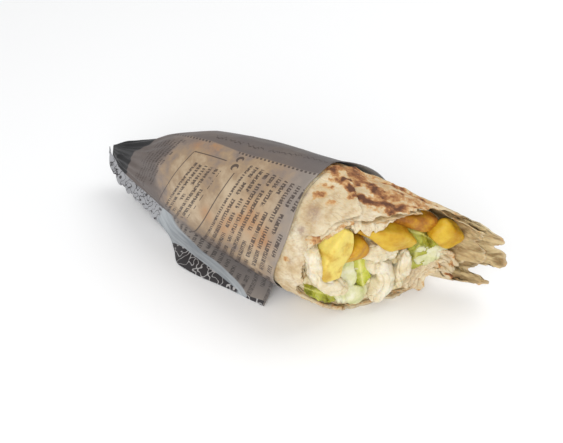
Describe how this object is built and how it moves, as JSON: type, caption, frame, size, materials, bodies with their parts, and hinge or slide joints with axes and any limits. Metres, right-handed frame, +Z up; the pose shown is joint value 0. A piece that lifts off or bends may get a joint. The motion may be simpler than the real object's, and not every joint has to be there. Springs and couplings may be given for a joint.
{
  "type": "gyro wrap",
  "caption": "Rolled flatbread stuffed with potato wedges, chicken, lettuce and cabbage, cut on the slant and torn behind, lying in a gathered printed paper sleeve.",
  "frame": {"origin": "on the flat underside of the sleeve, about midway along the roll", "axes": "+X along the roll from the closed tail to the cut mouth, +Z up, -Y the side that the slanted cut faces"},
  "size_m": [0.2397, 0.0731, 0.0732],
  "materials": {
    "paper": "thin greaseproof paper, print in brown greys, greasy and creased",
    "bread": "baked flatbread, matt, with toasted patches and flaky torn edges",
    "potato": "fried potato, soft sheen",
    "chicken": "cooked chicken with white sauce, moist",
    "lettuce": "leaf, moist sheen",
    "cabbage": "pale leaf, moist and slightly translucent",
    "filling": "chopped filling in sauce, moist"
  },
  "bodies": {
    "root": {"paper_sleeve": "paper", "paper_flap": "paper", "flatbread": "bread", "potato_1": "potato", "potato_2": "potato", "potato_3": "potato", "potato_4": "potato", "potato_5": "potato", "chicken_1": "chicken", "chicken_2": "chicken", "chicken_3": "chicken", "chicken_4": "chicken", "lettuce_1": "lettuce", "lettuce_2": "lettuce", "lettuce_3": "lettuce", "lettuce_4": "lettuce", "cabbage_1": "cabbage", "cabbage_2": "cabbage", "cabbage_3": "cabbage", "filling_core": "filling"}
  },
  "joints": []
}
